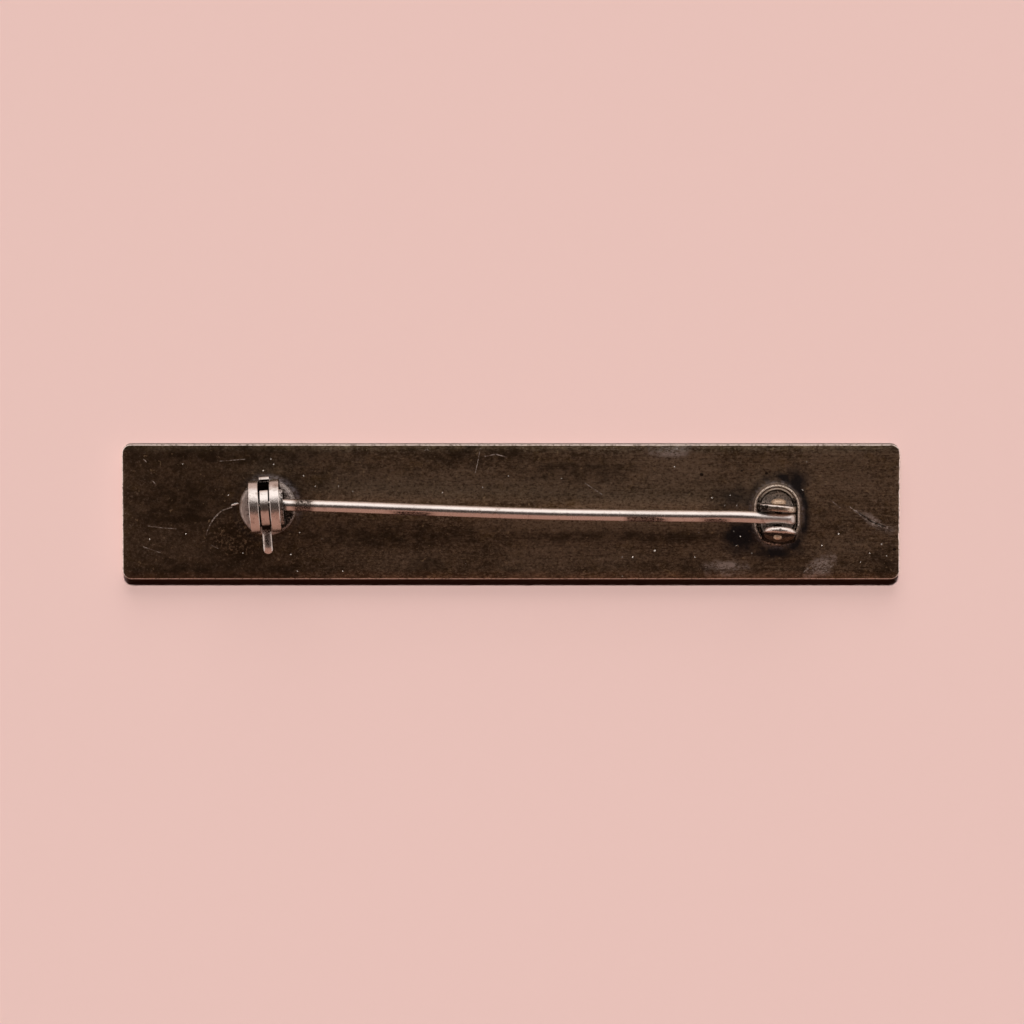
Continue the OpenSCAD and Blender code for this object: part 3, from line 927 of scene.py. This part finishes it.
def add_ear(width, thickness, round_r, shift, lean, turn, thinned):
    """Upright plate with a round top, standing in the dish, its outside filed off towards the ends"""
    ear = bmesh.new()
    bmesh.ops.create_circle(ear, cap_ends=True, segments=48, radius=width / 2)
    bmesh.ops.rotate(
        ear, verts=ear.verts, cent=(0, 0, 0), matrix=Matrix.Rotation(radians(90), 3, "X")
    )
    bmesh.ops.bisect_plane(
        ear, geom=ear.verts[:] + ear.edges[:] + ear.faces[:], plane_co=(0, 0, 0),
        plane_no=(0, 0, -1), clear_outer=True,
    )
    bmesh.ops.scale(ear, verts=ear.verts, vec=(1, 1, 2 * ear_top / width))
    chord = [e for e in ear.edges if all(abs(v.co.z) < 1e-5 for v in e.verts)]
    move_drawn(ear, bmesh.ops.extrude_edge_only(ear, edges=chord), (0, 0, -ear_foot_l))
    bmesh.ops.translate(ear, verts=ear.verts, vec=(0, -thickness / 2, 0))
    thick = bmesh.ops.extrude_face_region(ear, geom=ear.faces[:])
    move_drawn(ear, thick, (0, thickness, 0))
    soften(ear, round_r, 5, 50)
    cut_across(ear, 0, [ear_cell * i for i in range(-9, 10)])
    cut_across(ear, 2, [ear_cell * i for i in range(-13, 6)])
    for vertex in ear.verts:
        if vertex.co.y < 0:
            vertex.co.y *= 1 - thinned * min(1, (2 * vertex.co.x / width) ** 2)
    matrix = at_rivet @ Matrix.Translation(shift) @ Matrix.Rotation(radians(turn), 4, "Z")
    matrix = matrix @ Matrix.Rotation(-radians(lean), 4, "X")
    merge_into(joint, ear, matrix)
    return matrix


upper_ear = add_ear(
    upper_ear_w, thickness=0.5, round_r=0.16, shift=(-0.14, 0.81, 0), lean=4, turn=-4, thinned=0
)
lower_ear = add_ear(
    lower_ear_w, thickness=0.55, round_r=0.24, shift=(0.15, -1.12, 0), lean=24, turn=-2,
    thinned=0.8,
)
joint_finish = Finish("browned_joint_silver")
dress_silver(
    joint_finish, clean=(0.86, 0.79, 0.74), dull=(0.36, 0.24, 0.15), dull_share=0.25,
    roughness=0.2, depth=0.006, grains=8, brown=(0.38, 0.26, 0.145),
)


def ear_place(place):
    """Place in the nearer ear's own frame, and its share of the way from the middle to the rim"""
    upper = place.y > rivet_y - 0.1
    local = (upper_ear if upper else lower_ear).inverted() @ place
    half = (upper_ear_w if upper else lower_ear_w) / 2
    return upper, local, hypot(local.x / half, max(0, local.z) / ear_top)


def on_ear(place):
    """True on either ear, above the dish's rim"""
    return place.z > plate_t + dish_rim_h


def dish_place(place):
    """Place in the dish's own frame and how far out on its oval that is"""
    local = at_joint_base.inverted() @ place
    return local, hypot(local.x, max(0, abs(local.y) - dish_stretch))


def joint_browned(place):
    """Brown all over but for the ears' rubbed rims, less on the dish's floor, and strong on the ridge
    where it tints its painted highlight golden
    """
    if on_ear(place):
        upper, local, out = ear_place(place)
        if upper:
            return 0.85 * (1 - rise(out, 0.8, 0.95) * rise(local.y, 0.1, 0.18))
        return (local.y < -0.1) * (1 - 0.8 * rise(out, 0.8, 0.95) * rise(local.z, 0.1, 0.5))
    local, reach = dish_place(place)
    return 0.7 if reach > ring_from else 0.85 if reach > ridge_from else 0.3


def joint_blackened(place):
    """Black low on the ears and in the dish, with painted shade on the upper ear's left end, a
    painted reflection arc left light on the lower ear, and the ridge black but for its painted
    highlight
    """
    if on_ear(place):
        upper, local, out = ear_place(place)
        if upper:
            # Painted shade on the upper ear's left end, which also dims its rubbed rim there
            low = rise(plate_t + 1.7 - place.z, 0, 0.5)
            rubbed = rise(out, 0.8, 0.95) * rise(local.y, 0.1, 0.18)
            rubbed *= 1 - 0.6 * rise(-local.x, 0.5, 1)
            shade = 0.3 + 0.55 * rise(-local.x, 0.1, 0.9)
            return max(shade, low) * (1 - 0.9 * rubbed)
        if local.y > -0.1:
            return max(rise(plate_t + 2.6 - place.z, 0, 0.5), 0.6 * rise(abs(local.x), 0.95, 1.25))
        # Painted reflection: a lit arc near the lower ear's foot, dark round it
        bowl = hypot(local.x / 1.15, (local.z + 0.1) / 1.25)
        lit = rise(-local.z, 0.1, 0.4) * rise(bowl, 0.35, 0.55) * (1 - rise(bowl, 0.95, 1.1))
        return (0.8 - 0.7 * lit) * (1 - rise(out, 0.8, 0.95) * rise(local.z, 0.1, 0.5))
    local, reach = dish_place(place)
    if reach > ring_from:
        return 0.36 + 0.2 * rise(-local.y, 0.2, 1.2)
    if reach > ridge_from:
        # The ridge is black but for its top, which keeps a painted highlight
        return 0.72 - 0.72 * rise(local.y, 1.1, 1.7)
    return 0.85 if reach > edge_from else 0.45


paint(joint, "browned", joint_browned)
paint(joint, "black", joint_blackened)
paint(joint, "rough", lambda place: 0.3 * (not on_ear(place)))
add_piece(
    joint, "joint_dish_and_ears", "brooch", joint_finish.material, "hinge_joint"
)

# Rivet: a length of silver wire through both ears and the stem, with a domed head outside the
# upper ear and a small peened end outside the lower one. Both ends are rubbed golden.
rivet = bmesh.new()
rivet_profile = [(0, 1.54), (0.22, 1.525), (0.42, 1.465), (0.53, 1.38), (0.59, 1.28), (0.6, 1.18),
                 (0.56, 1.13), (0.3, 1.12), (0.3, 1.08), (0.3, -1.24), (0.32, -1.26), (0.33, -1.46),
                 (0.29, -1.55), (0.2, -1.61), (0, -1.64)]
profile_points = [rivet.verts.new((reach, along_rivet, 0)) for reach, along_rivet in rivet_profile]
profile_edges = [rivet.edges.new(pair) for pair in zip(profile_points, profile_points[1:])]
bmesh.ops.spin(
    rivet, geom=profile_points + profile_edges, cent=(0, 0, 0), axis=(0, 1, 0), angle=2 * pi,
    steps=32, use_merge=True,
)
bmesh.ops.remove_doubles(rivet, verts=rivet.verts, dist=0.0005)
bmesh.ops.recalc_face_normals(rivet, faces=rivet.faces)
bmesh.ops.transform(rivet, matrix=at_rivet, verts=rivet.verts)
rivet_finish = Finish("rubbed_rivet_silver")
dress_silver(
    rivet_finish, clean=(0.98, 0.78, 0.58), dull=(0.4, 0.27, 0.17), dull_share=0.6,
    roughness=0.38, depth=0.03, grains=6,
)
paint(rivet, "browned", lambda place: 0.2)
paint(rivet, "black", lambda place: 1 if -1.25 < (at_rivet.inverted() @ place).y < 1.1 else 0.3)
paint(rivet, "rough", lambda place: 0)
add_piece(rivet, "rivet_domed", "brooch", rivet_finish.material, "hinge_rivet")

# Pin stem: hard-drawn silver wire, ground to a point and flattened to a head that turns on the
# rivet. Use has bowed it a little sideways and left rust-brown flecks along it.
wire_r = 0.47
stem_l = 40.5
point_l = 2.6
point_r = 0.05
point_belly = 0.12
tip_r = 0.015
head_t = 0.9
head_h = 1.12
tail_l = 1.35
tail_r = 0.575
tail_pared = 0.14
neck_start = 0.8
neck_l = 1.5
# How far the stem is bowed sideways, at distances from the rivet
bow = [(-1.35, -0.02), (0, 0), (3, 0.075), (6, 0.035), (11, -0.03), (17, -0.077), (21, -0.06),
       (26, 0), (32, 0.09), (36, 0.13), (40.5, 0.16)]


def bowed(far):
    """How far the stem strays from its straight line, at a distance from the rivet"""
    index = max(i for i, knot in enumerate(bow[:-1]) if far >= knot[0] or i == 0)
    knots = [bow[max(0, min(len(bow) - 1, index + i))] for i in (-1, 0, 1, 2)]
    width = knots[2][0] - knots[1][0]
    t = min(1, max(0, (far - knots[1][0]) / width))
    slopes = []
    for before, after in ((0, 2), (1, 3)):
        run = knots[after][0] - knots[before][0]
        slopes.append((knots[after][1] - knots[before][1]) / run * width if run else 0)
    return (
        knots[1][1] * (2 * t ** 3 - 3 * t ** 2 + 1) + slopes[0] * (t ** 3 - 2 * t ** 2 + t)
        + knots[2][1] * (3 * t ** 2 - 2 * t ** 3) + slopes[1] * (t ** 3 - t ** 2)
    )


# Sections from the tail to the point: distance from the rivet, half width and half depth
stations = []
for i in range(7):
    turn = pi / 2 * i / 6
    half_y = head_t / 2 - tail_pared * cos(turn) ** 3
    stations.append((-tail_l + tail_r * (1 - cos(turn)), half_y, tail_r * sin(turn) + 0.04))
stations += [(-0.4, head_t / 2, head_h / 2), (0.6, head_t / 2, head_h / 2)]
for i in range(9):
    share = i / 8
    ease = rise(share, 0, 1)
    half_y = head_t / 2 + (wire_r - head_t / 2) * ease
    half_z = head_h / 2 + (wire_r - head_h / 2) * ease
    stations.append((neck_start + neck_l * share, half_y, half_z))
stations += [(0.5 * i, wire_r, wire_r) for i in range(5, 76)]
for i in range(7):
    share = i / 6
    reach = (wire_r * (1 - share) + point_r * share) * (1 + point_belly * sin(pi * share))
    stations.append((stem_l - point_l * (1 - share), reach, reach))
stations.append((stem_l, tip_r, tip_r))
stem = bmesh.new()
rings = []
for far, half_y, half_z in stations:
    ring = bmesh.ops.create_circle(stem, segments=32, radius=1)["verts"]
    # The head is deeper than it is wide, with straight flanks between two round edges
    flank = max(0, half_z - half_y)
    for vertex in ring:
        across = vertex.co.x * half_y
        upward = vertex.co.y * min(half_y, half_z)
        vertex.co = Vector((-far, bowed(far) + across, upward + side_of(vertex.co.y) * flank))
    rings.append(list(dict.fromkeys(e for v in ring for e in v.link_edges)))
for first, second in zip(rings, rings[1:]):
    bmesh.ops.bridge_loops(stem, edges=first + second)
for ring in (rings[0], rings[-1]):
    bmesh.ops.contextual_create(stem, geom=ring)
bmesh.ops.recalc_face_normals(stem, faces=stem.faces)
bmesh.ops.transform(stem, matrix=at_rivet, verts=stem.verts)
stem_finish = Finish("drawn_stem_silver")
dress_silver(
    stem_finish, silver, dull=(0.35, 0.24, 0.18), dull_share=0.2, roughness=0.16, depth=0.003
)
# Stretches of rust flecks: start and end along the bar, and whether they lie on the low side
rust_flecks = [(-16.5, -15.4, False), (-8.8, -6.2, True), (9.1, 11.8, True), (14.8, 16.4, True)]


def stem_rust(place):
    """Rust-brown flecks gather in a few places along the stem"""
    below = (at_rivet.inverted() @ place).y < -0.1
    flecks = 0
    for start, end, low_side in rust_flecks:
        inside = rise(place.x, start - 0.4, start) * (1 - rise(place.x, end, end + 0.4))
        flecks = max(flecks, inside * (0.6 if below or not low_side else 0.1))
    return flecks


paint(stem, "browned", lambda place: max(1.6 * stem_rust(place), 0.75 * rise(place.x, 21.3, 21.8)))
paint(stem, "black", lambda place: 0.95 * stem_rust(place))
paint(stem, "rough", lambda place: 0.5 * rise(place.x, 18.4, 19.4))
add_piece(stem, "stem_bowed", "pin", stem_finish.material, "pin_stem", smooth=60)
